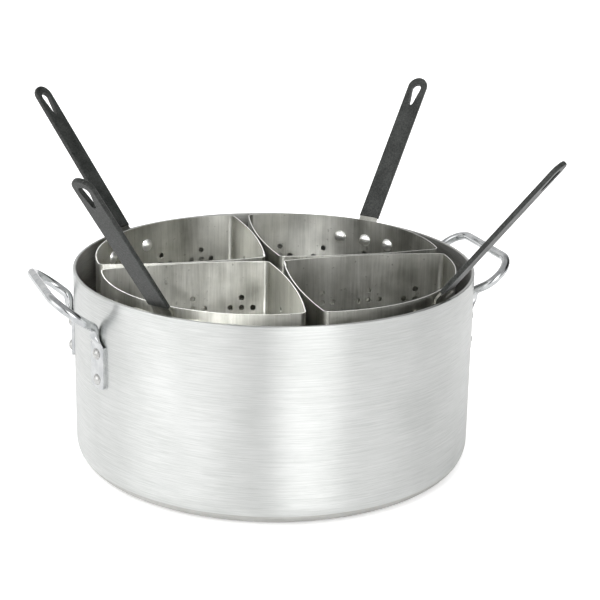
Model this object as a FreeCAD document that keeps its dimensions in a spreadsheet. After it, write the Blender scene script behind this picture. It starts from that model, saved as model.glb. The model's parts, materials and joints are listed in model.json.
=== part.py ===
"""Four-basket pasta cooker: an aluminium pot, two riveted loop handles and four lift-out wedge baskets.

+Z is up and the origin is on the pot's axis at its base. The loop handles lie on +X and -X.
Every size is in millimetres and comes from the sheet "sizes".
"""
import FreeCAD, Part
import math
import os
import Sketcher
from FreeCAD import Placement, Rotation, Vector

os.makedirs("parts", exist_ok=True)
doc = FreeCAD.newDocument("pasta_cooker")

DRIVING = {
    # the pot
    "pot_radius": 187.5,
    "pot_height": 185.0,
    "pot_wall": 3.0,
    "pot_corner": 20.0,
    "rim_round": 0.9,
    # loop handles: a rod whose ends are flattened into riveted plates
    "rod_diameter": 8.2,
    "loop_reach": 34.0,
    "loop_half_flare": 84.0,
    "loop_corner": 24.0,
    "loop_bend": 8.0,
    "loop_top_drop": 1.7,
    "loop_bend_drop": 29.3,
    "plate_half_spacing": 48.4,
    "plate_width": 22.0,
    "plate_thick": 2.6,
    "plate_bottom_drop": 86.0,
    "plate_top_drop": 45.0,
    "plate_round": 5.0,
    "rod_gap": 0.3,
    "upper_rivet_drop": 54.0,
    "lower_rivet_drop": 78.0,
    "rivet_shank": 5.0,
    "rivet_head": 10.4,
    "rivet_dome": 2.8,
    "rivet_tail": 8.6,
    "tail_thick": 1.2,
    # baskets, drawn with their line of symmetry along +X
    "basket_turn": -7.5,
    "basket_rise": 4.2,
    "floor_gap": 0.3,
    "sheet_thick": 0.9,
    "apex_reach": 9.9,
    "corner_reach": 121.3,
    "corner_half": 110.0,
    "side_radius": 482.0,
    "arc_radius": 142.0,
    "outline_round": 6.0,
    "pan_height": 15.0,
    "pan_round": 4.5,
    "lap_start": 5.0,
    "lap_width": 10.0,
    "lap_drop": 0.4,
    # punched holes
    "punch_diameter": 5.4,
    "punch_column": 10.7,
    "punch_row": 9.7,
    "cluster_pitch": 46.0,
    "first_row_drop": 31.0,
    "left_first_cluster": 39.5,
    "right_first_cluster": 25.0,
    "pan_hole_margin": 14.0,
    # basket handles: steel strip with a wide foot, dipped grip over its leaning part
    "strip_width": 19.4,
    "strip_thick": 2.0,
    "strip_bend": 8.0,
    "strip_lean": 51.6,
    "strip_bend_drop": 1.3,
    "strip_run": 173.0,
    "foot_half": 38.0,
    "foot_bottom_drop": 29.0,
    "foot_height": 24.0,
    "foot_round": 5.0,
    "basket_rivet_drop": 17.0,
    "basket_rivet_pitch": 28.0,
    "basket_shank": 4.6,
    "basket_rivet_head": 12.8,
    "basket_rivet_dome": 3.4,
    "basket_rivet_tail": 8.0,
    "grip_width": 21.2,
    "grip_thick": 4.2,
    "grip_start": 9.3,
    "grip_run": 174.2,
    "grip_round": 1.2,
    "hang_big": 5.2,
    "hang_small": 2.3,
    "hang_tip_gap": 13.2,
    "hang_spread": 17.4,
    "hang_lining": 0.8,
}

sheet = doc.addObject("Spreadsheet::Sheet", "sizes")
for row, (alias, value) in enumerate(DRIVING.items(), start=1):
    sheet.set(f"A{row}", alias)
    sheet.set(f"B{row}", str(value))
    sheet.setAlias(f"B{row}", alias)
doc.recompute()


def size(alias):
    """A driving dimension, read back from the sheet."""
    return float(getattr(sheet, alias))


HOLE_ROWS = 3
CUTTER_RUN = 12.0  # length of a punch or bore, well past both faces of any sheet
LOOP_STUB = 6.0  # straight rod below the loop's lower bend
PLATE_OVERLAP = 3.0  # how far the flattened transition runs into the plate
CROWN_RISE, CROWN_OUT = 0.76, 0.6  # a point of a rivet's dome, as shares of its rise and its radius
WALL_FACE = "sizes.corner_reach - sqrt(sizes.arc_radius ^ 2 - sizes.corner_half ^ 2) + sizes.arc_radius"
BASKET_BASE = "sizes.pot_wall + sizes.floor_gap"
WALL_BASE = f"{BASKET_BASE} + sizes.pan_height"
WALL_HEIGHT = f"sizes.pot_height + sizes.basket_rise - ({WALL_BASE})"
Z_AXIS = Vector(0, 0, 1)

rim_height = size("pot_height")
basket_top = rim_height + size("basket_rise")
basket_base = size("pot_wall") + size("floor_gap")
wall_base = basket_base + size("pan_height")
arc_centre = size("corner_reach") - math.sqrt(size("arc_radius") ** 2 - size("corner_half") ** 2)
wall_face = arc_centre + size("arc_radius")
strip_middle = wall_face + size("strip_thick") / 2
bend_height = rim_height - size("strip_bend_drop")
plate_angle = math.degrees(math.asin(size("plate_half_spacing") / size("pot_radius")))


# ---------------------------------------------------------------- helpers

def bind(feature, **expressions):
    """Tie properties of a feature to expressions on the sheet."""
    for name, expression in expressions.items():
        feature.setExpression(name, expression)


def origin_plane(body, role):
    """The body's own XY_Plane, XZ_Plane or YZ_Plane."""
    return next(item for item in body.Origin.OriginFeatures if item.Role == role)


def new_sketch(body, name, role="XY_Plane", offset=None):
    """A sketch attached to one of its body's origin planes."""
    sketch = body.newObject("Sketcher::SketchObject", name)
    sketch.AttachmentSupport = [(origin_plane(body, role), "")]
    sketch.MapMode = "FlatFace"
    if offset is not None:
        sketch.AttachmentOffset = offset
    return sketch


def dimension(sketch, kind, target, alias_expression, *references):
    """A named dimensional constraint, driven by an expression."""
    index = sketch.addConstraint(Sketcher.Constraint(kind, *references, target))
    name = f"size_{index}"
    sketch.renameConstraint(index, name)
    sketch.setExpression(f"Constraints.{name}", alias_expression)


def named_edges(shape, test):
    """Names of the edges that pass a test."""
    return [f"Edge{i}" for i, edge in enumerate(shape.Edges, start=1) if test(edge)]


def is_level(edge, height):
    box = edge.BoundBox
    return abs(box.ZMin - height) < 1e-4 and abs(box.ZMax - height) < 1e-4


def add_fillet(body, name, base, edges, alias):
    fillet = body.newObject("PartDesign::Fillet", name)
    fillet.Base = (base, edges)
    fillet.Radius = size(alias)
    bind(fillet, Radius=f"sizes.{alias}")
    doc.recompute()
    return fillet


def end_at(sketch, index, point):
    """Which end of a sketch element (1 start, 2 end) lies at a point."""
    return 1 if (sketch.getPoint(index, 1) - point).Length < 1e-3 else 2


def part_feature(name, shape, placement=None):
    """A shape built with Part's own functions, as an object of the document."""
    feature = doc.addObject("Part::Feature", name)
    feature.Shape = shape
    if placement is not None:
        feature.Placement = placement
    return feature


def boolean(kind, name, base, tool):
    """Part::Cut or Part::Fuse of two objects of the document."""
    result = doc.addObject(kind, name)
    result.Base = base
    result.Tool = tool
    doc.recompute()
    return result


def ring_sector(inner, outer, start, end, low, high):
    """A piece of an upright ring about the Z axis, between two angles in degrees."""
    corners = [Vector(inner, 0, low), Vector(outer, 0, low), Vector(outer, 0, high), Vector(inner, 0, high)]
    section = Part.Face(Part.makePolygon(corners + corners[:1]))
    sector = section.revolve(Vector(), Z_AXIS, end - start)
    sector.rotate(Vector(), Z_AXIS, start)
    return sector


def cutter(diameter):
    """A punch or bore along +X, centred on the origin."""
    return Part.makeCylinder(diameter / 2, CUTTER_RUN, Vector(-CUTTER_RUN / 2, 0, 0), Vector(1, 0, 0))


def about_z(degrees, centre=Vector()):
    """A turn about an upright line through a point."""
    turn = Rotation(Z_AXIS, degrees)
    return Placement(centre - turn.multVec(centre), turn)


def rod_path(points, radii):
    """Straight runs joined by tangent arcs, one radius for each inner point."""
    edges = []
    start = points[0]
    for before, corner, after, radius in zip(points, points[1:], points[2:], radii):
        into = (before - corner).normalize()
        out = (after - corner).normalize()
        half = into.getAngle(out) / 2
        tangent = radius / math.tan(half)
        bisector = (into + out).normalize()
        centre = corner + bisector * (radius / math.sin(half))
        first = corner + into * tangent
        last = corner + out * tangent
        edges.append(Part.LineSegment(start, first).toShape())
        edges.append(Part.Arc(first, centre - bisector * radius, last).toShape())
        start = last
    edges.append(Part.LineSegment(start, points[-1]).toShape())
    return Part.Wire(edges)


def sweep_round(path, radius):
    """A round rod along a path."""
    start = path.Edges[0]
    direction = start.tangentAt(start.FirstParameter)
    ring = Part.Wire([Part.makeCircle(radius, start.valueAt(start.FirstParameter), direction)])
    return path.makePipeShell([ring], True, True)


def domed_rivet(shank_radius, head_radius, dome, grip, tail_radius, tail):
    """A rivet along +X: its head stands on x = 0 and its tail lies past x = -grip."""
    shoulder = Vector(dome * CROWN_RISE, head_radius * CROWN_OUT, 0)
    crown = Part.Arc(Vector(dome, 0, 0), shoulder, Vector(0, head_radius, 0))
    outline = [
        Vector(0, head_radius, 0),
        Vector(0, shank_radius, 0),
        Vector(-grip, shank_radius, 0),
        Vector(-grip, tail_radius, 0),
        Vector(-grip - tail, tail_radius, 0),
        Vector(-grip - tail, 0, 0),
        Vector(dome, 0, 0),
    ]
    edges = [crown.toShape()]
    edges += [Part.LineSegment(a, b).toShape() for a, b in zip(outline, outline[1:])]
    face = Part.Face(Part.Wire(Part.sortEdges(edges)[0]))
    return face.revolve(Vector(), Vector(1, 0, 0), 360)


def radial(shape, radius, degrees, height, centre=Vector()):
    """Stand a shape drawn along +X at a radius and angle about an upright line."""
    placed = shape.copy()
    placed.translate(Vector(radius, 0, height))
    placed.rotate(Vector(), Z_AXIS, degrees)
    placed.translate(centre)
    return placed


def hollow(body, name, base, open_heights, alias):
    """Leave only a skin inside the surface, open on the level faces named by height."""
    faces = [f"Face{i}" for i, face in enumerate(base.Shape.Faces, start=1)
             if face.BoundBox.ZLength < 1e-4
             and any(abs(face.BoundBox.ZMin - z) < 1e-3 for z in open_heights)]
    shell = body.newObject("PartDesign::Thickness", name)
    shell.Base = (base, faces)
    shell.Reversed = True
    shell.Value = size(alias)
    bind(shell, Value=f"sizes.{alias}")
    doc.recompute()
    assert shell.Shape.Volume < 0.2 * base.Shape.Volume
    body.Tip = shell
    return shell


# ---------------------------------------------------------------- pot

def make_pot_blank():
    """A spun pot of one thickness, with rounded base corners and a rounded rim."""
    body = doc.addObject("PartDesign::Body", "pot_blank")
    outer = new_sketch(body, "pot_outer")
    outer.addGeometry(Part.Circle(Vector(), Z_AXIS, size("pot_radius")))
    outer.addConstraint(Sketcher.Constraint("Coincident", 0, 3, -1, 1))
    dimension(outer, "Radius", size("pot_radius"), "sizes.pot_radius", 0)
    pad = body.newObject("PartDesign::Pad", "pot_pad")
    pad.Profile = outer
    bind(pad, Length="sizes.pot_height")
    doc.recompute()
    corner = add_fillet(body, "pot_corner_round", pad,
                        named_edges(pad.Shape, lambda e: is_level(e, 0.0)), "pot_corner")

    shell = hollow(body, "pot_hollow", corner, (rim_height,), "pot_wall")
    rim = add_fillet(body, "pot_rim_round", shell,
                     named_edges(shell.Shape, lambda e: is_level(e, rim_height)), "rim_round")
    body.Tip = rim
    return body


def plate_sites():
    """Angle and height of the four rivets of the handle on +X."""
    heights = (rim_height - size("upper_rivet_drop"), rim_height - size("lower_rivet_drop"))
    return [(side * plate_angle, height) for side in (-1, 1) for height in heights]


def make_side_handle():
    """The loop on +X: a bent rod, a flattened transition and a curved plate at each end."""
    radius = size("pot_radius")
    rod_radius = size("rod_diameter") / 2
    stand_off = radius + rod_radius + size("rod_gap")
    turn = math.radians(plate_angle)
    foot_x = stand_off * math.cos(turn)
    foot_y = stand_off * math.sin(turn)
    bend_z = rim_height - size("loop_bend_drop")
    top_z = rim_height - size("loop_top_drop")
    flatten_top = bend_z - LOOP_STUB
    flatten_bottom = rim_height - size("plate_top_drop") - PLATE_OVERLAP - 1.0
    reach = radius + size("loop_reach")
    flare = size("loop_half_flare")
    points = [
        Vector(foot_x, -foot_y, flatten_top),
        Vector(foot_x, -foot_y, bend_z),
        Vector(reach, -flare, top_z),
        Vector(reach, flare, top_z),
        Vector(foot_x, foot_y, bend_z),
        Vector(foot_x, foot_y, flatten_top),
    ]
    bend = size("loop_bend")
    corner = size("loop_corner")
    handle = sweep_round(rod_path(points, [bend, corner, corner, bend]), rod_radius)

    half_width = size("plate_width") / 2
    half_angle = math.degrees(half_width / radius)
    plate_out = radius + size("plate_thick")
    middle = radius + size("plate_thick") / 2
    # height, distance from the axis, half width along the wall, half depth across it
    sections = [
        (flatten_top, stand_off, rod_radius, rod_radius),
        (flatten_top - 5.0, stand_off - 0.9, rod_radius * 1.45, rod_radius * 0.78),
        (flatten_bottom + PLATE_OVERLAP, middle + 0.5, half_width * 0.93, size("plate_thick") * 0.55),
        (flatten_bottom, middle + 0.35, half_width * 0.97, size("plate_thick") * 0.42),
    ]
    for side in (-1, 1):
        angle = side * plate_angle
        wires = []
        for height, distance, wide, deep in sections:
            if wide == deep:
                outline = Part.Circle(Vector(), Z_AXIS, wide)
            else:
                outline = Part.Ellipse(Vector(), wide, deep)
            wire = Part.Wire([outline.toShape()])
            wire.rotate(Vector(), Z_AXIS, 90)
            wire.translate(Vector(distance, 0, height))
            wire.rotate(Vector(), Z_AXIS, angle)
            wires.append(wire)
        transition = Part.makeLoft(wires, True, False)
        plate = ring_sector(radius, plate_out, angle - half_angle, angle + half_angle,
                            rim_height - size("plate_bottom_drop"), flatten_bottom + PLATE_OVERLAP)
        lower = [e for e in plate.Edges
                 if abs(e.BoundBox.ZMax - plate.BoundBox.ZMin) < 1e-4
                 and e.Length < size("plate_thick") + 0.1]
        plate = plate.makeFillet(size("plate_round"), lower)
        handle = handle.fuse([transition, plate])
    wall = Part.makeCylinder(radius, rim_height * 2)
    handle = handle.cut(wall).removeSplitter()
    bore = cutter(size("rivet_shank"))
    bores = Part.makeCompound([radial(bore, radius, angle, z) for angle, z in plate_sites()])
    return part_feature("side_handle", handle.cut(bores))


def make_side_rivets():
    """Four domed rivets, set from outside, with flat tails inside the pot."""
    rivet = domed_rivet(size("rivet_shank") / 2, size("rivet_head") / 2, size("rivet_dome"),
                        size("plate_thick") + size("pot_wall"), size("rivet_tail") / 2, size("tail_thick"))
    face = size("pot_radius") + size("plate_thick")
    group = [radial(rivet, face, angle, z) for angle, z in plate_sites()]
    return part_feature("side_rivets", Part.makeCompound(group))


# ---------------------------------------------------------------- baskets

def side_arc_centre(sign):
    """Centre of the gently bowed side wall from the apex to the corner on +Y or -Y."""
    apex = Vector(size("apex_reach"), 0, 0)
    corner = Vector(size("corner_reach"), sign * size("corner_half"), 0)
    chord = corner - apex
    middle = (apex + corner) * 0.5
    inward = Vector(chord.y, -chord.x, 0).normalize() * sign
    depth = math.sqrt(size("side_radius") ** 2 - (chord.Length / 2) ** 2)
    return middle + inward * depth


def disc_meeting(first_centre, first_radius, second_centre, second_radius, near):
    """Where two circles meet, on the side of a nearby point."""
    across = second_centre - first_centre
    distance = across.Length
    along = (distance ** 2 + first_radius ** 2 - second_radius ** 2) / (2 * distance)
    aside = math.sqrt(first_radius ** 2 - along ** 2)
    across.normalize()
    foot = first_centre + across * along
    offset = Vector(-across.y, across.x, 0) * aside
    return min((foot + offset, foot - offset), key=lambda point: (point - near).Length)


def arc_about(centre, radius, first, last):
    """The short arc between two points of a circle."""
    middle = centre + ((first + last) * 0.5 - centre).normalize() * radius
    return Part.Arc(first, middle, last)


def basket_outline(body, name, base):
    """The wedge seen from above: two bowed sides and a tighter outer arc, with rounded corners.

    Its construction points are the sharp corners where the three arcs would meet.
    """
    sketch = new_sketch(body, name)
    sketch.setExpression("AttachmentOffset.Base.z", base)
    sides = [(side_arc_centre(1), size("side_radius")),
             (Vector(arc_centre, 0, 0), size("arc_radius")),
             (side_arc_centre(-1), size("side_radius"))]
    sharp = [Vector(size("corner_reach"), size("corner_half"), 0),
             Vector(size("corner_reach"), -size("corner_half"), 0),
             Vector(size("apex_reach"), 0, 0)]
    small = size("outline_round")
    rounds = []
    for index, corner in enumerate(sharp):
        (centre, radius), (next_centre, next_radius) = sides[index], sides[(index + 1) % 3]
        rounds.append(disc_meeting(centre, radius - small, next_centre, next_radius - small, corner))

    def touch(side, round_index):
        """Where a corner's round touches a side."""
        centre, radius = sides[side]
        return centre + (rounds[round_index] - centre).normalize() * radius

    for index, (centre, radius) in enumerate(sides):
        sketch.addGeometry(arc_about(centre, radius, touch(index, (index + 2) % 3), touch(index, index)))
    for index, centre in enumerate(rounds):
        sketch.addGeometry(arc_about(centre, small, touch(index, index), touch((index + 1) % 3, index)))
    for corner in sharp:
        sketch.addGeometry(Part.Point(corner), True)

    for index in range(3):
        for side in (index, (index + 1) % 3):
            point = touch(side, index)
            sketch.addConstraint(Sketcher.Constraint("Tangent", side, end_at(sketch, side, point),
                                                     3 + index, end_at(sketch, 3 + index, point)))
            sketch.addConstraint(Sketcher.Constraint("PointOnObject", 6 + index, 1, side))
        dimension(sketch, "Radius", small, "sizes.outline_round", 3 + index)
    for index, alias in enumerate(("side_radius", "arc_radius", "side_radius")):
        dimension(sketch, "Radius", size(alias), f"sizes.{alias}", index)
    dimension(sketch, "DistanceX", size("corner_reach"), "sizes.corner_reach", -1, 1, 6, 1)
    dimension(sketch, "DistanceY", size("corner_half"), "sizes.corner_half", -1, 1, 6, 1)
    sketch.addConstraint(Sketcher.Constraint("Symmetric", 6, 1, 7, 1, -1))
    sketch.addConstraint(Sketcher.Constraint("PointOnObject", 8, 1, -1))
    dimension(sketch, "DistanceX", size("apex_reach"), "sizes.apex_reach", -1, 1, 8, 1)
    return sketch


def make_wedge(name, base, height):
    """The wedge drawn up from a base level; both are expressions on the sheet."""
    body = doc.addObject("PartDesign::Body", name)
    pad = body.newObject("PartDesign::Pad", f"{name}_pad")
    pad.Profile = basket_outline(body, f"{name}_outline", base)
    bind(pad, Length=height)
    doc.recompute()
    return body, pad


def cluster_punches(centre, radius, angles, heights):
    """Diamond clusters of punches through an upright curved sheet: rows of one, three, three and one."""
    punch = cutter(size("punch_diameter"))
    step = math.degrees(size("punch_column") / radius)
    tools = []
    for angle in angles:
        for top in heights:
            for row, columns in enumerate(((0,), (-1, 0, 1), (-1, 0, 1), (0,))):
                z = top - row * size("punch_row")
                tools += [radial(punch, radius, angle + column * step, z, centre) for column in columns]
    return tools


def wall_punches():
    """Every hole of one basket's wall: five clusters on the outer arc and three on each side."""
    pitch = size("cluster_pitch")
    heights = [rim_height - size("first_row_drop") - level * pitch for level in range(HOLE_ROWS)]
    arc_step = math.degrees(pitch / size("arc_radius"))
    tools = cluster_punches(Vector(arc_centre, 0, 0), size("arc_radius"),
                            [count * arc_step for count in (-2, -1, 0, 1, 2)], heights)
    for sign, first in ((1, size("left_first_cluster")), (-1, size("right_first_cluster"))):
        centre = side_arc_centre(sign)
        apex = Vector(size("apex_reach"), 0, 0) - centre
        apex_angle = math.degrees(math.atan2(apex.y, apex.x))
        per_mm = math.degrees(1 / size("side_radius"))
        angles = [apex_angle - sign * (first + count * pitch) * per_mm for count in range(3)]
        tools += cluster_punches(centre, size("side_radius"), angles, heights)
    return Part.makeCompound(tools)


def basket_rivet_angles():
    """Angles of the three rivets about the outer arc's centre."""
    step = math.degrees(size("basket_rivet_pitch") / size("arc_radius"))
    return (-step, 0.0, step)


def basket_rivet_bores():
    """Three bores through the wall and the handle's foot."""
    bore = cutter(size("basket_shank"))
    z = rim_height - size("basket_rivet_drop")
    centre = Vector(arc_centre, 0, 0)
    return Part.makeCompound([radial(bore, size("arc_radius"), angle, z, centre)
                              for angle in basket_rivet_angles()])


def make_basket_wall():
    """The wrapped wall: one sheet, lapped beside the apex, punched, and bored for the handle's rivets."""
    body, wedge = make_wedge("wall_blank", WALL_BASE, WALL_HEIGHT)
    hollow(body, "wall_shell", wedge, (wall_base, basket_top), "sheet_thick")
    centre = side_arc_centre(-1)
    apex = Vector(size("apex_reach"), 0, 0) - centre
    apex_angle = math.degrees(math.atan2(apex.y, apex.x))
    per_mm = math.degrees(1 / size("side_radius"))
    sheet_thick = size("sheet_thick")
    lap_start = apex_angle + size("lap_start") * per_mm
    lap = ring_sector(size("side_radius") - 2 * sheet_thick, size("side_radius") - 0.5 * sheet_thick,
                      lap_start, lap_start + size("lap_width") * per_mm,
                      wall_base, basket_top - size("lap_drop"))
    lap.translate(centre)
    lapped = boolean("Part::Fuse", "wall_lapped", body, part_feature("wall_lap", lap))
    punched = boolean("Part::Cut", "wall_punched", lapped, part_feature("wall_punches", wall_punches()))
    return boolean("Part::Cut", "basket_wall", punched, part_feature("wall_rivet_bores", basket_rivet_bores()))


def inside_wedge(x, y, margin):
    """Whether a point lies inside the wedge outline by a margin."""
    point = Vector(x, y, 0)
    if (point - Vector(arc_centre, 0, 0)).Length > size("arc_radius") - margin:
        return False
    return all((point - side_arc_centre(sign)).Length < size("side_radius") - margin for sign in (-1, 1))


def pan_punches():
    """Drain holes on a square grid turned with the wedge."""
    punch_base = Vector(0, 0, basket_base - CUTTER_RUN / 2)
    punch = Part.makeCylinder(size("punch_diameter") / 2, CUTTER_RUN, punch_base)
    pitch = size("cluster_pitch") / 3
    tools = []
    for i in range(1, 12):
        for j in range(1, 12):
            x = (i + j) * pitch / math.sqrt(2)
            y = (j - i) * pitch / math.sqrt(2)
            if inside_wedge(x, y, size("pan_hole_margin")):
                tools.append(punch.translated(Vector(x, y, 0)))
    return Part.makeCompound(tools)


def make_basket_pan():
    """The shallow pressed floor that the wall stands on, with a rounded lower edge and drain holes."""
    body, wedge = make_wedge("pan_blank", BASKET_BASE, "sizes.pan_height")
    edges = named_edges(wedge.Shape, lambda e: is_level(e, basket_base))
    soft = add_fillet(body, "pan_edge", wedge, edges, "pan_round")
    hollow(body, "pan_shell", soft, (wall_base,), "sheet_thick")
    return boolean("Part::Cut", "basket_pan", body, part_feature("pan_punches", pan_punches()))


def lean_placement():
    """Frame of the leaning run: +X up along the strip from the bend's corner, +Z out of its upper face."""
    return Placement(Vector(strip_middle, 0, bend_height), Rotation(Vector(0, 1, 0), -size("strip_lean")))


def teardrop(sketch, grow):
    """A hang hole that is wide near the tip and narrow below, larger all round by grow."""
    big = size("hang_big") + grow
    small = size("hang_small") + grow
    big_x = size("grip_run") - size("hang_tip_gap")
    small_x = big_x - size("hang_spread")
    lean = math.acos((big - small) / size("hang_spread"))

    def edge_point(centre_x, radius, sign):
        return Vector(centre_x - radius * math.cos(lean), sign * radius * math.sin(lean), 0)

    big_top, big_low = edge_point(big_x, big, 1), edge_point(big_x, big, -1)
    small_top, small_low = edge_point(small_x, small, 1), edge_point(small_x, small, -1)
    sketch.addGeometry(Part.Arc(big_low, Vector(big_x + big, 0, 0), big_top))
    sketch.addGeometry(Part.LineSegment(big_top, small_top))
    sketch.addGeometry(Part.Arc(small_top, Vector(small_x - small, 0, 0), small_low))
    sketch.addGeometry(Part.LineSegment(small_low, big_low))
    corners = ((0, big_top, 1), (1, small_top, 2), (2, small_low, 3), (3, big_low, 0))
    for first, point, second in corners:
        sketch.addConstraint(Sketcher.Constraint("Tangent", first, end_at(sketch, first, point),
                                                 second, end_at(sketch, second, point)))
    for index in (0, 2):
        sketch.addConstraint(Sketcher.Constraint("PointOnObject", index, 3, -1))
    grown = f"{grow} mm"
    dimension(sketch, "Radius", big, f"sizes.hang_big * 1 mm + {grown}", 0)
    dimension(sketch, "Radius", small, f"sizes.hang_small * 1 mm + {grown}", 2)
    dimension(sketch, "DistanceX", big_x, "sizes.grip_run - sizes.hang_tip_gap", -1, 1, 0, 3)
    dimension(sketch, "DistanceX", small_x, "sizes.grip_run - sizes.hang_tip_gap - sizes.hang_spread",
              -1, 1, 2, 3)


def add_rectangle(sketch, low_x, high_x, half_y):
    """A rectangle centred on the sketch's X axis."""
    corners = [Vector(low_x, -half_y, 0), Vector(high_x, -half_y, 0),
               Vector(high_x, half_y, 0), Vector(low_x, half_y, 0)]
    for first, last in zip(corners, corners[1:] + corners[:1]):
        sketch.addGeometry(Part.LineSegment(first, last))
    for index in range(4):
        sketch.addConstraint(Sketcher.Constraint("Coincident", index, 2, (index + 1) % 4, 1))
    for index in (0, 2):
        sketch.addConstraint(Sketcher.Constraint("Horizontal", index))
    sketch.addConstraint(Sketcher.Constraint("Vertical", 1))
    sketch.addConstraint(Sketcher.Constraint("Symmetric", 0, 1, 3, 1, -1))


def make_strip_blank():
    """The bent strip: a pipe up the wall and out over the rim, with a rounded tip and a wide foot."""
    body = doc.addObject("PartDesign::Body", "strip_blank")
    foot_z = rim_height - size("foot_bottom_drop")
    lean = math.radians(size("strip_lean"))
    bend = size("strip_bend")
    tangent = bend * math.tan((math.pi / 2 - lean) / 2)
    up = Vector(strip_middle, bend_height - tangent, 0)
    out_direction = Vector(math.cos(lean), math.sin(lean), 0)
    corner = Vector(strip_middle, bend_height, 0)
    out = corner + out_direction * tangent
    tip = corner + out_direction * size("strip_run")
    centre = up + Vector(bend, 0, 0)
    middle = centre + ((corner - centre).normalize() * bend)

    spine = new_sketch(body, "strip_spine", "XZ_Plane")
    spine.addGeometry(Part.LineSegment(Vector(strip_middle, foot_z, 0), up))
    spine.addGeometry(Part.Arc(up, middle, out))
    spine.addGeometry(Part.LineSegment(out, tip))
    arc_start = end_at(spine, 1, up)
    spine.addConstraint(Sketcher.Constraint("Vertical", 0))
    spine.addConstraint(Sketcher.Constraint("Tangent", 0, 2, 1, arc_start))
    spine.addConstraint(Sketcher.Constraint("Tangent", 1, 3 - arc_start, 2, 1))
    dimension(spine, "Radius", bend, "sizes.strip_bend", 1)

    section = new_sketch(body, "strip_section", offset=Placement(Vector(0, 0, foot_z), Rotation()))
    half_thick = size("strip_thick") / 2
    add_rectangle(section, strip_middle - half_thick, strip_middle + half_thick, size("strip_width") / 2)
    dimension(section, "DistanceX", size("strip_thick"), "sizes.strip_thick", 0, 1, 0, 2)
    dimension(section, "DistanceY", size("strip_width"), "sizes.strip_width", 1, 1, 1, 2)
    dimension(section, "DistanceX", wall_face, WALL_FACE, -1, 1, 0, 1)
    pipe = body.newObject("PartDesign::AdditivePipe", "strip_pipe")
    pipe.Profile = section
    pipe.Spine = (spine, [])
    doc.recompute()

    tip_point = lean_placement().multVec(Vector(size("strip_run"), 0, 0))

    def at_tip_corner(edge):
        return (abs(edge.Length - size("strip_thick")) < 0.05
                and (edge.CenterOfMass - tip_point).Length < size("strip_width") / 2 + 0.2)

    rounded = body.newObject("PartDesign::Fillet", "strip_tip")
    rounded.Base = (pipe, named_edges(pipe.Shape, at_tip_corner))
    rounded.Radius = size("strip_width") / 2 - 0.05
    doc.recompute()

    foot = new_sketch(body, "foot_section", offset=Placement(Vector(arc_centre, 0, foot_z), Rotation()))
    inner = size("arc_radius")
    outer = inner + size("strip_thick")
    half = size("foot_half")

    def on_arc(radius, y):
        return Vector(math.sqrt(radius ** 2 - y ** 2), y, 0)

    corners = [on_arc(inner, -half), on_arc(inner, half), on_arc(outer, half), on_arc(outer, -half)]
    foot.addGeometry(Part.Arc(corners[0], Vector(inner, 0, 0), corners[1]))
    foot.addGeometry(Part.LineSegment(corners[1], corners[2]))
    foot.addGeometry(Part.Arc(corners[2], Vector(outer, 0, 0), corners[3]))
    foot.addGeometry(Part.LineSegment(corners[3], corners[0]))
    for index, corner in enumerate(corners):
        before = (index - 1) % 4
        foot.addConstraint(Sketcher.Constraint("Coincident", before, end_at(foot, before, corner),
                                               index, end_at(foot, index, corner)))
    for arc in (0, 2):
        foot.addConstraint(Sketcher.Constraint("Coincident", arc, 3, -1, 1))
        foot.addConstraint(Sketcher.Constraint("Symmetric", arc, 1, arc, 2, -1))
    dimension(foot, "Radius", inner, "sizes.arc_radius", 0)
    dimension(foot, "Radius", outer, "sizes.arc_radius + sizes.strip_thick", 2)
    dimension(foot, "DistanceY", 2 * half, "sizes.foot_half * 2", 0, 1, 0, 2)
    low_end = end_at(foot, 2, corners[3])
    dimension(foot, "DistanceY", 2 * half, "sizes.foot_half * 2", 2, low_end, 2, 3 - low_end)
    pad = body.newObject("PartDesign::Pad", "foot_pad")
    pad.Profile = foot
    bind(pad, Length="sizes.foot_height")
    doc.recompute()

    def at_foot_corner(edge):
        box = edge.BoundBox
        at_end = box.ZLength < 1e-4 and abs(abs(box.YMin) - half) < 1e-3 and box.YLength < 1e-3
        return at_end and edge.Length < 3.0

    rounded_foot = add_fillet(body, "foot_corners", pad, named_edges(pad.Shape, at_foot_corner), "foot_round")

    hole = new_sketch(body, "strip_hang", offset=lean_placement())
    teardrop(hole, size("hang_lining"))
    pocket = body.newObject("PartDesign::Pocket", "strip_hang_hole")
    pocket.Profile = hole
    pocket.Length = CUTTER_RUN
    pocket.Midplane = True
    doc.recompute()
    assert pocket.Shape.Volume < rounded_foot.Shape.Volume - 100
    body.Tip = pocket
    return body


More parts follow.
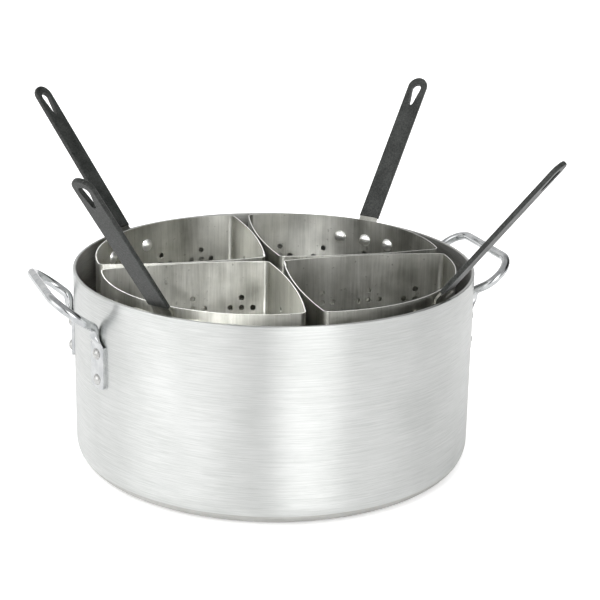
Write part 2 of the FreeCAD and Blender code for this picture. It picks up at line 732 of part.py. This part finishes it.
def make_grip_blank():
    """The dipped grip before the strip is taken out of it, drawn flat and then leaned over."""
    body = doc.addObject("PartDesign::Body", "grip_blank")
    profile = new_sketch(body, "grip_profile")
    low = size("grip_start")
    half = size("grip_width") / 2
    tip_centre = size("grip_run") - half
    profile.addGeometry(Part.LineSegment(Vector(low, -half, 0), Vector(tip_centre, -half, 0)))
    profile.addGeometry(Part.Arc(Vector(tip_centre, -half, 0), Vector(tip_centre + half, 0, 0),
                                 Vector(tip_centre, half, 0)))
    profile.addGeometry(Part.LineSegment(Vector(tip_centre, half, 0), Vector(low, half, 0)))
    profile.addGeometry(Part.LineSegment(Vector(low, half, 0), Vector(low, -half, 0)))
    profile.addConstraint(Sketcher.Constraint("Coincident", 2, 2, 3, 1))
    profile.addConstraint(Sketcher.Constraint("Coincident", 3, 2, 0, 1))
    profile.addConstraint(Sketcher.Constraint("Tangent", 0, 2, 1, 1))
    profile.addConstraint(Sketcher.Constraint("Tangent", 1, 2, 2, 1))
    profile.addConstraint(Sketcher.Constraint("Vertical", 3))
    profile.addConstraint(Sketcher.Constraint("Horizontal", 0))
    profile.addConstraint(Sketcher.Constraint("Horizontal", 2))
    profile.addConstraint(Sketcher.Constraint("PointOnObject", 1, 3, -1))
    dimension(profile, "Radius", half, "sizes.grip_width / 2", 1)
    dimension(profile, "DistanceX", low, "sizes.grip_start", -1, 1, 0, 1)
    dimension(profile, "DistanceX", tip_centre, "sizes.grip_run - sizes.grip_width / 2", -1, 1, 1, 3)
    pad = body.newObject("PartDesign::Pad", "grip_pad")
    pad.Profile = profile
    pad.Midplane = True
    bind(pad, Length="sizes.grip_thick")
    doc.recompute()
    half_thick = size("grip_thick") / 2
    rims = named_edges(pad.Shape, lambda e: is_level(e, half_thick) or is_level(e, -half_thick))
    soft = add_fillet(body, "grip_edges", pad, rims, "grip_round")
    hole = new_sketch(body, "grip_hang")
    teardrop(hole, 0.0)
    pocket = body.newObject("PartDesign::Pocket", "grip_hang_hole")
    pocket.Profile = hole
    pocket.Length = CUTTER_RUN
    pocket.Midplane = True
    doc.recompute()
    assert pocket.Shape.Volume < soft.Shape.Volume - 100
    body.Tip = pocket
    body.Placement = lean_placement()
    doc.recompute()
    return body


def make_basket_rivets():
    """Three domed rivets with their heads inside the basket and flat tails outside the foot.

    The wall is hollow-curved there, so each flat-backed head bears on its two sides, a little off the wall.
    """
    head_radius = size("basket_rivet_head") / 2
    face = math.sqrt((size("arc_radius") - size("sheet_thick")) ** 2 - head_radius ** 2)
    grip = size("arc_radius") + size("strip_thick") - face
    rivet = domed_rivet(size("basket_shank") / 2, head_radius, size("basket_rivet_dome"),
                        grip, size("basket_rivet_tail") / 2, size("tail_thick"))
    rivet.rotate(Vector(), Z_AXIS, 180)
    z = rim_height - size("basket_rivet_drop")
    centre = Vector(arc_centre, 0, 0)
    return part_feature("basket_rivets", Part.makeCompound(
        [radial(rivet, face, angle, z, centre) for angle in basket_rivet_angles()]))


# ---------------------------------------------------------------- assembly

def rivet_bores_in_pot():
    """Eight bores through the pot's wall, four for each loop handle."""
    bore = cutter(size("rivet_shank"))
    return Part.makeCompound([radial(bore, size("pot_radius"), angle + turn, z)
                              for turn in (0, 180) for angle, z in plate_sites()])


nodes = {}
nodes["pot_shell"] = boolean("Part::Cut", "pot_shell", make_pot_blank(),
                             part_feature("pot_rivet_bores", rivet_bores_in_pot()))
side_handle = make_side_handle()
side_rivets = make_side_rivets()
for word, turn in (("right", 0), ("left", 180)):
    nodes[f"side_handle_{word}"] = part_feature(f"side_handle_{word}", side_handle.Shape, about_z(turn))
    nodes[f"side_rivets_{word}"] = part_feature(f"side_rivets_{word}", side_rivets.Shape, about_z(turn))

strip_blank = make_strip_blank()
strip = boolean("Part::Cut", "basket_strip", strip_blank,
                part_feature("strip_rivet_bores", basket_rivet_bores()))
grip = boolean("Part::Cut", "basket_grip", make_grip_blank(), strip_blank)
basket_pieces = {
    "wall": make_basket_wall(),
    "pan": make_basket_pan(),
    "handle_strip": strip,
    "handle_grip": grip,
    "rivets": make_basket_rivets(),
}
for number in range(1, 5):
    turn = 45 + 90 * (number - 1) + size("basket_turn")
    for word, piece in basket_pieces.items():
        name = f"basket_{number}_{word}"
        nodes[name] = part_feature(name, piece.Shape, about_z(turn))

doc.recompute()
for item in doc.Objects:
    assert "Invalid" not in item.State and "Error" not in item.State, f"{item.Name}: {item.State}"
for name, item in nodes.items():
    item.Label = name
    assert not item.Shape.isNull() and item.Shape.isValid(), name
for name, item in nodes.items():
    item.Shape.exportStep(f"parts/{name}.step")
    print(f"{name}: {len(item.Shape.Solids)} solids, {item.Shape.Volume / 1000:.2f} cm3")
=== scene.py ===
"""Looks for a four-basket pasta cooker: spun aluminium pot, chrome loops, steel baskets, dipped grips.

Everything is in metres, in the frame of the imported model: +Z up, the pot's axis on Z, its base at zero.
"""
import json
import math

import bmesh
import bpy
from mathutils import Matrix, Vector


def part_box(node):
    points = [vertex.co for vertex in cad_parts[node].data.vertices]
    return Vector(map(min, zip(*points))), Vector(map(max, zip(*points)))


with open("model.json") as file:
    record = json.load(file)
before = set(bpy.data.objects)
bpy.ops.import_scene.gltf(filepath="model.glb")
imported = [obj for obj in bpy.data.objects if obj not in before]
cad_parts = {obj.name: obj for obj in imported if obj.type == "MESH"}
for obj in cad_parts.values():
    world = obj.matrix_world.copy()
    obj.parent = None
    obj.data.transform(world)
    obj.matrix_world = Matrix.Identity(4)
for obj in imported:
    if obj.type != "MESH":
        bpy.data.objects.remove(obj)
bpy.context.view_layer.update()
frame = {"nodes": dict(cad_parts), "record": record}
nodes = frame["nodes"]


# ---------------------------------------------------------------- camera

CAMERA_AZIMUTH = math.radians(-20.0)
CAMERA_REACH = 1.45208
CAMERA_HEIGHT = 0.61325
CAMERA_PITCH = 0.30943
CAMERA_YAW = 0.01713
CAMERA_ROLL = 0.01993
CAMERA_LENS = 96.66
SENSOR_WIDTH = 36.0


def make_camera():
    """The camera looks down by 18 degrees, turned and rolled by about one degree."""
    data = bpy.data.cameras.new("camera")
    data.lens = CAMERA_LENS
    data.sensor_width = SENSOR_WIDTH
    camera = bpy.data.objects.new("camera", data)
    bpy.context.scene.collection.objects.link(camera)
    turn = Matrix.Rotation(CAMERA_AZIMUTH, 4, "Z")
    place = Matrix.Translation((0.0, -CAMERA_REACH, CAMERA_HEIGHT))
    heading = Matrix.Rotation(-CAMERA_YAW, 4, "Z")
    tilt = Matrix.Rotation(math.pi / 2 - CAMERA_PITCH, 4, "X")
    roll = Matrix.Rotation(CAMERA_ROLL, 4, "Z")
    camera.matrix_world = turn @ place @ heading @ tilt @ roll
    bpy.context.scene.camera = camera


make_camera()


# ---------------------------------------------------------------- shader helpers

def add(tree, kind, inputs=None, **settings):
    """A shader node with its settings made and its inputs set to values or linked to sockets."""
    made = tree.nodes.new("ShaderNode" + kind)
    for name, value in settings.items():
        setattr(made, name, value)
    for socket, value in (inputs or {}).items():
        if isinstance(value, bpy.types.NodeSocket):
            tree.links.new(value, made.inputs[socket])
        else:
            made.inputs[socket].default_value = value
    return made


def new_material(name, **settings):
    """A material and its principled shader, with plain sockets set."""
    material = bpy.data.materials.new(name)
    material.use_nodes = True
    shader = material.node_tree.nodes["Principled BSDF"]
    for socket, value in settings.items():
        shader.inputs[socket.replace("_", " ")].default_value = value
    return material, material.node_tree, shader


def drive(tree, shader, **values):
    """Link values to the shader's sockets; an underscore in a socket's name stands for a space."""
    for socket, value in values.items():
        tree.links.new(value, shader.inputs[socket.replace("_", " ")])


def math_node(tree, operation, first, second=0.0):
    return add(tree, "Math", {0: first, 1: second}, operation=operation).outputs[0]


def weighted_sum(tree, *terms):
    """The sum of values, each times its weight."""
    total = None
    for value, weight in terms:
        share = math_node(tree, "MULTIPLY", value, weight)
        total = share if total is None else math_node(tree, "ADD", total, share)
    return total


def distance_from_axis(tree, x, y):
    squares = math_node(tree, "ADD", math_node(tree, "MULTIPLY", x, x), math_node(tree, "MULTIPLY", y, y))
    return math_node(tree, "SQRT", squares)


def object_place(tree):
    return add(tree, "TexCoord").outputs["Object"]


def stretched(tree, vector, scale, turn=0.0):
    """The coordinates scaled differently along each axis, so that noise comes out as grain."""
    mapping = add(tree, "Mapping", {"Vector": vector, "Scale": scale, "Rotation": (0.0, turn, 0.0)})
    return mapping.outputs["Vector"]


def noise(tree, vector, detail, roughness=0.5, scale=1.0):
    return add(tree, "TexNoise", {"Vector": vector, "Scale": scale, "Detail": detail,
                                  "Roughness": roughness}).outputs["Fac"]


def spread(tree, value, low, high, from_low=0.3, from_high=0.7):
    """Gives low where the value is from_low, high where it is from_high, and runs evenly between them."""
    return add(tree, "MapRange", {"Value": value, "From Min": from_low, "From Max": from_high,
                                  "To Min": low, "To Max": high}).outputs["Result"]


def contrast(tree, value, from_low=0.3, from_high=0.7):
    """How far a value has come from from_low, which gives 0, to from_high, which gives 1."""
    return spread(tree, value, 0.0, 1.0, from_low, from_high)


def mix_colours(tree, factor, first, second):
    """A colour between two. A Mix node keeps its colour inputs at 6 and 7, and its colour output at 2."""
    return add(tree, "Mix", {0: factor, 6: first, 7: second}, data_type="RGBA").outputs[2]


def tint(tree, factor, dark, bright):
    """A colour between two fixed ones, by a factor."""
    return mix_colours(tree, factor, (*dark, 1.0), (*bright, 1.0))


def bump(tree, height, distance, strength, normal=None):
    inputs = {"Height": height, "Distance": distance, "Strength": strength}
    if normal is not None:
        inputs["Normal"] = normal
    return add(tree, "Bump", inputs).outputs["Normal"]


def brushed_tangent(tree):
    """The tangent round the pot's axis. With a rotation of 0.25, highlights run up and down."""
    return add(tree, "Tangent", direction_type="RADIAL", axis="Z").outputs[0]


# ---------------------------------------------------------------- materials

POT_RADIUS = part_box("pot_shell")[1].x
POT_WALL = 0.003
INNER_FINISH_TO = POT_RADIUS - 0.8 * POT_WALL
OUTER_FINISH_FROM = POT_RADIUS - 0.6 * POT_WALL
INNER_DULLNESS = 0.04       # roughness that the inside has more than the outside
DENT_DEPTH = 8.0            # how deep a dent is beside a scratch
BASKET_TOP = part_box("basket_1_wall")[1].z
EDGE_DEPTH = 0.003
QUARTER_TURN = 0.25         # of a whole turn, for Anisotropic Rotation
SMEAR_ROUGHNESS = 0.12      # roughness that a rivet's smears add
# The cut edge's metallic and tone below also paint a highlight along the basket rims.
CUT_EDGE_PAINTED_HIGHLIGHT_METALLIC = 0.5
CUT_EDGE_PAINTED_HIGHLIGHT_COLOUR = (0.52, 0.52, 0.50, 1.0)
STAIN_COLOUR = (0.16, 0.16, 0.14, 1.0)
FLECK_COLOUR = (0.16, 0.16, 0.15, 1.0)


def spun_aluminium():
    """Satin aluminium turned on a lathe: fine rings, a few slanted scratches, duller inside."""
    material, tree, shader = new_material("spun_aluminium", Metallic=1.0, Anisotropic=0.9,
                                          Anisotropic_Rotation=QUARTER_TURN)
    place = object_place(tree)
    x, y, z = add(tree, "SeparateXYZ", {0: place}).outputs
    radius = distance_from_axis(tree, x, y)
    # The last axis runs up the wall and in over the base, so that the rings follow the lathe.
    run = math_node(tree, "ADD", z, radius)
    spun = add(tree, "CombineXYZ", {0: x, 1: y, 2: run}).outputs[0]
    fine = noise(tree, stretched(tree, spun, (30.0, 30.0, 2400.0)), detail=3.0, roughness=0.6)
    rings = noise(tree, stretched(tree, spun, (30.0, 30.0, 1300.0)), detail=4.0, roughness=0.75)
    cloud = noise(tree, place, detail=3.0, roughness=0.55, scale=14.0)
    slanted = stretched(tree, place, (60.0, 60.0, 900.0), turn=0.5)
    scratches = contrast(tree, noise(tree, slanted, detail=1.0), 0.68, 0.72)
    dents = contrast(tree, noise(tree, place, detail=1.0, scale=70.0), 0.76, 0.80)
    inside = spread(tree, radius, 1.0, 0.0, INNER_FINISH_TO, OUTER_FINISH_FROM)

    shade = weighted_sum(tree, (rings, 0.7), (cloud, 0.3))
    outer = tint(tree, contrast(tree, shade, 0.37, 0.63), dark=(0.60, 0.615, 0.60), bright=(0.80, 0.81, 0.80))
    inner = tint(tree, contrast(tree, shade), dark=(0.40, 0.40, 0.38), bright=(0.74, 0.74, 0.72))
    polish = spread(tree, rings, low=0.34, high=0.42)
    rough = math_node(tree, "ADD", polish, math_node(tree, "MULTIPLY", inside, INNER_DULLNESS))
    grooves = weighted_sum(tree, (fine, 0.5), (rings, 1.0))
    grooved = bump(tree, grooves, distance=0.00002, strength=0.35)
    marks = math_node(tree, "SUBTRACT", scratches, math_node(tree, "MULTIPLY", dents, DENT_DEPTH))
    marked = bump(tree, marks, distance=0.00002, strength=0.4, normal=grooved)
    drive(tree, shader, Base_Color=mix_colours(tree, inside, outer, inner), Roughness=rough,
          Normal=marked, Tangent=brushed_tangent(tree))
    return material


def chrome_rod():
    """Bright plating over a bent rod, with a faint smear and a hint of the bending marks."""
    material, tree, shader = new_material("chrome_rod", Metallic=1.0)
    place = object_place(tree)
    smear = noise(tree, place, detail=4.0, roughness=0.6, scale=90.0)
    wave = noise(tree, place, detail=1.0, scale=160.0)
    colour = tint(tree, contrast(tree, smear), dark=(0.46, 0.475, 0.49), bright=(0.70, 0.71, 0.71))
    drive(tree, shader, Base_Color=colour, Roughness=spread(tree, smear, low=0.05, high=0.14),
          Normal=bump(tree, wave, distance=0.0002, strength=0.35))
    return material


def rivet_metal(name, low, high, polish):
    """Upset aluminium, slightly dimpled by the rivet set.

    low and high are its darkest and brightest tone, and polish is its lowest roughness.
    """
    material, tree, shader = new_material(name, Metallic=1.0)
    place = object_place(tree)
    dimple = noise(tree, place, detail=2.0, scale=420.0)
    smear = noise(tree, place, detail=3.0, roughness=0.6, scale=240.0)
    warm = (1.0, 1.0, 0.98)
    colour = tint(tree, contrast(tree, smear), dark=[low * part for part in warm],
                  bright=[high * part for part in warm])
    drive(tree, shader, Base_Color=colour, Roughness=spread(tree, smear, polish, polish + SMEAR_ROUGHNESS),
          Normal=bump(tree, dimple, distance=0.0002, strength=0.4))
    return material


def basket_steel():
    """Warm grey stainless sheet: upright grain, streaks that are partly brushing and partly painted
    reflection bands, finger smears, small stains, and bright cut edges that are partly a painted highlight.
    """
    material, tree, shader = new_material("basket_steel", Anisotropic=0.8,
                                          Anisotropic_Rotation=QUARTER_TURN)
    place = object_place(tree)
    grain = noise(tree, stretched(tree, place, (520.0, 520.0, 26.0)), detail=3.0, roughness=0.65)
    # Broad upright streaks: partly brushing marks, partly painted reflection bands.
    streaks_and_painted_reflections = noise(tree, stretched(tree, place, (30.0, 30.0, 1.6)), detail=3.0, roughness=0.6)
    smear = noise(tree, place, detail=4.0, roughness=0.6, scale=26.0)
    wave = noise(tree, stretched(tree, place, (26.0, 26.0, 5.0)), detail=1.0, roughness=0.4)
    stains = spread(tree, noise(tree, place, detail=2.0, scale=210.0), low=0.0, high=0.5,
                    from_low=0.68, from_high=0.76)
    # The cut edge, which also carries a painted highlight along the rim, is the top few millimetres of the
    # sheet where it faces up.
    facing_up = add(tree, "SeparateXYZ", {0: add(tree, "NewGeometry").outputs["Normal"]}).outputs[2]
    height = add(tree, "SeparateXYZ", {0: place}).outputs[2]
    cut_edge_painted_highlight = math_node(tree, "MULTIPLY", contrast(tree, facing_up, 0.7, 0.9),
                         contrast(tree, height, BASKET_TOP - 2 * EDGE_DEPTH, BASKET_TOP - EDGE_DEPTH))

    # The tone mixes grain, smears and the broad streaks, which are partly painted reflection bands.
    shade = weighted_sum(tree, (grain, 0.22), (streaks_and_painted_reflections, 0.45), (smear, 0.33))
    sheet = tint(tree, contrast(tree, shade, 0.36, 0.64), dark=(0.30, 0.30, 0.27), bright=(0.68, 0.68, 0.635))
    stained = mix_colours(tree, stains, sheet, STAIN_COLOUR)
    # The top edge's tone and metallic are partly a cut-edge finish and partly a painted highlight along the
    # rim.
    colour = mix_colours(tree, cut_edge_painted_highlight, stained, CUT_EDGE_PAINTED_HIGHLIGHT_COLOUR)
    rough = math_node(tree, "ADD", spread(tree, smear, low=0.26, high=0.36),
                      math_node(tree, "MULTIPLY", grain, 0.06))
    wavy = bump(tree, wave, distance=0.0016, strength=0.35)
    drive(tree, shader, Base_Color=colour, Metallic=spread(tree, cut_edge_painted_highlight, 1.0, CUT_EDGE_PAINTED_HIGHLIGHT_METALLIC, 0.0, 1.0),
          Roughness=rough, Normal=bump(tree, grain, distance=0.00003, strength=0.5, normal=wavy),
          Tangent=brushed_tangent(tree))
    return material


def grip_coating():
    """Dipped black vinyl: fine pebbling, a dull bloom and pale flecks of dust."""
    material, tree, shader = new_material("grip_coating", Specular_IOR_Level=0.35)
    place = object_place(tree)
    pebble = noise(tree, place, detail=3.0, roughness=0.7, scale=640.0)
    bloom = noise(tree, place, detail=3.0, roughness=0.55, scale=60.0)
    fleck_cell = add(tree, "TexVoronoi", {"Vector": place, "Scale": 300.0}).outputs["Distance"]
    flecks = spread(tree, fleck_cell, low=0.5, high=0.0, from_low=0.05, from_high=0.14)
    shade = weighted_sum(tree, (pebble, 0.7), (bloom, 0.3))
    base = tint(tree, contrast(tree, shade, 0.36, 0.64),
                dark=(0.008, 0.009, 0.0085), bright=(0.050, 0.053, 0.050))
    drive(tree, shader, Base_Color=mix_colours(tree, flecks, base, FLECK_COLOUR),
          Roughness=spread(tree, bloom, low=0.28, high=0.46),
          Normal=bump(tree, pebble, distance=0.00025, strength=0.6))
    return material


def paint_nodes():
    """Give every CAD node its material, by the record's slots. The rivets outside the pot are weathered."""
    finish = {
        "pot_aluminium": spun_aluminium(),
        "loop_chrome": chrome_rod(),
        "rivet_metal": rivet_metal("bright_rivets", low=0.90, high=0.98, polish=0.28),
        "basket_steel": basket_steel(),
        "grip_coating": grip_coating(),
    }
    weathered = rivet_metal("weathered_rivets", low=0.46, high=0.62, polish=0.22)
    for part in frame["record"]["subparts"]:
        name = part["node"]
        slots = nodes[name].data.materials
        slots.clear()
        slots.append(weathered if name.startswith("side_rivets") else finish[part["material_slot"]])


paint_nodes()


# ---------------------------------------------------------------- stage and light

FLOOR_HALF = 12.0
FLOOR_LIFT = 0.45
ROOM_GLOW = 0.03
OVERHEAD_GLOW = 0.5
OVERHEAD_FROM = 0.5
OVERHEAD_FULL = 0.85
SUN_TILT = (math.radians(14.0), math.radians(-10.0), 0.0)
BASKET_LIGHT_PLACE = (-0.40, -0.44, 0.72)
BASKET_LIGHT_TARGET = (-0.10, -0.02, 0.13)


def make_floor():
    """A plain pale floor that runs past every view. It glows a little, for the camera only, to stay white."""
    mesh = bpy.data.meshes.new("floor")
    net = bmesh.new()
    bmesh.ops.create_grid(net, x_segments=8, y_segments=8, size=FLOOR_HALF)
    net.to_mesh(mesh)
    net.free()
    floor = bpy.data.objects.new("floor", mesh)
    bpy.context.scene.collection.objects.link(floor)
    material, tree, shader = new_material("floor_paper", Roughness=0.9, Emission_Color=(1.0, 1.0, 1.0, 1.0))
    fibre = noise(tree, object_place(tree), detail=3.0, roughness=0.6, scale=6.0)
    seen = add(tree, "LightPath").outputs["Is Camera Ray"]
    drive(tree, shader, Base_Color=tint(tree, fibre, dark=(0.90, 0.90, 0.90), bright=(0.92, 0.92, 0.92)),
          Emission_Strength=math_node(tree, "MULTIPLY", seen, FLOOR_LIFT))
    mesh.materials.append(material)


def make_world():
    """Soft light from four tall soft boxes round the object, and an even glow overhead."""
    world = bpy.data.worlds.new("studio")
    bpy.context.scene.world = world
    world.use_nodes = True
    tree = world.node_tree
    x, y, z = add(tree, "SeparateXYZ", {0: add(tree, "TexCoord").outputs["Generated"]}).outputs
    flat = distance_from_axis(tree, x, y)

    def soft_box(heading, half_width, softness, strength):
        """Light of some strength from a range of headings, at any height.

        The heading, half width and softness are in degrees, and the heading is measured from +X.
        """
        turn = math.radians(heading)
        aim = math_node(tree, "ADD", math_node(tree, "MULTIPLY", x, math.cos(turn)),
                        math_node(tree, "MULTIPLY", y, math.sin(turn)))
        facing = math_node(tree, "DIVIDE", aim, math_node(tree, "MAXIMUM", flat, 1e-4))
        outer_edge = math.cos(math.radians(half_width + softness))
        inner_edge = math.cos(math.radians(max(half_width - softness, 0.0)))
        box = add(tree, "MapRange", {"Value": facing, "From Min": outer_edge, "From Max": inner_edge,
                                     "To Min": 0.0, "To Max": strength}, interpolation_type="SMOOTHSTEP")
        return box.outputs["Result"]

    around = soft_box(heading=-162, half_width=24, softness=24, strength=1.4)
    for other in (soft_box(heading=-90, half_width=12, softness=13, strength=2.8),
                  soft_box(heading=124, half_width=74, softness=44, strength=0.75),
                  soft_box(heading=-52, half_width=12, softness=16, strength=0.55),
                  ROOM_GLOW):
        around = math_node(tree, "ADD", around, other)
    above = add(tree, "MapRange", {"Value": z, "From Min": OVERHEAD_FROM, "From Max": OVERHEAD_FULL},
                interpolation_type="SMOOTHSTEP").outputs["Result"]
    overhead = math_node(tree, "MULTIPLY", above, OVERHEAD_GLOW)
    # A Mix node keeps its plain numbers at inputs 2 and 3.
    strength = add(tree, "Mix", {0: above, 2: around, 3: overhead}, data_type="FLOAT").outputs[0]
    background = tree.nodes["Background"]
    background.inputs["Color"].default_value = (1.0, 1.0, 1.0, 1.0)
    tree.links.new(strength, background.inputs["Strength"])


def make_sun():
    """Broad top light for the floor and the grips; the metal sees only the studio round it."""
    data = bpy.data.lights.new("top_light", "SUN")
    data.energy = 2.0
    data.angle = math.radians(70.0)
    light = bpy.data.objects.new("top_light", data)
    light.rotation_euler = SUN_TILT
    light.visible_glossy = False
    bpy.context.scene.collection.objects.link(light)


def make_basket_light():
    """A soft disk above the front left that lights only the metal of the baskets, which lie in shade."""
    data = bpy.data.lights.new("basket_light", "AREA")
    data.shape = "DISK"
    data.size = 0.30
    data.energy = 1.5
    data.spread = math.radians(28.0)
    light = bpy.data.objects.new("basket_light", data)
    light.location = BASKET_LIGHT_PLACE
    aim = Vector(BASKET_LIGHT_TARGET) - light.location
    light.rotation_euler = aim.to_track_quat("-Z", "Y").to_euler()
    bpy.context.scene.collection.objects.link(light)
    lit = bpy.data.collections.new("lit_baskets")
    for name, piece in nodes.items():
        if name.startswith("basket_") and not name.endswith("grip"):
            lit.objects.link(piece)
    light.light_linking.receiver_collection = lit


make_floor()
make_world()
make_sun()
make_basket_light()

bpy.context.scene.view_settings.view_transform = "Standard"
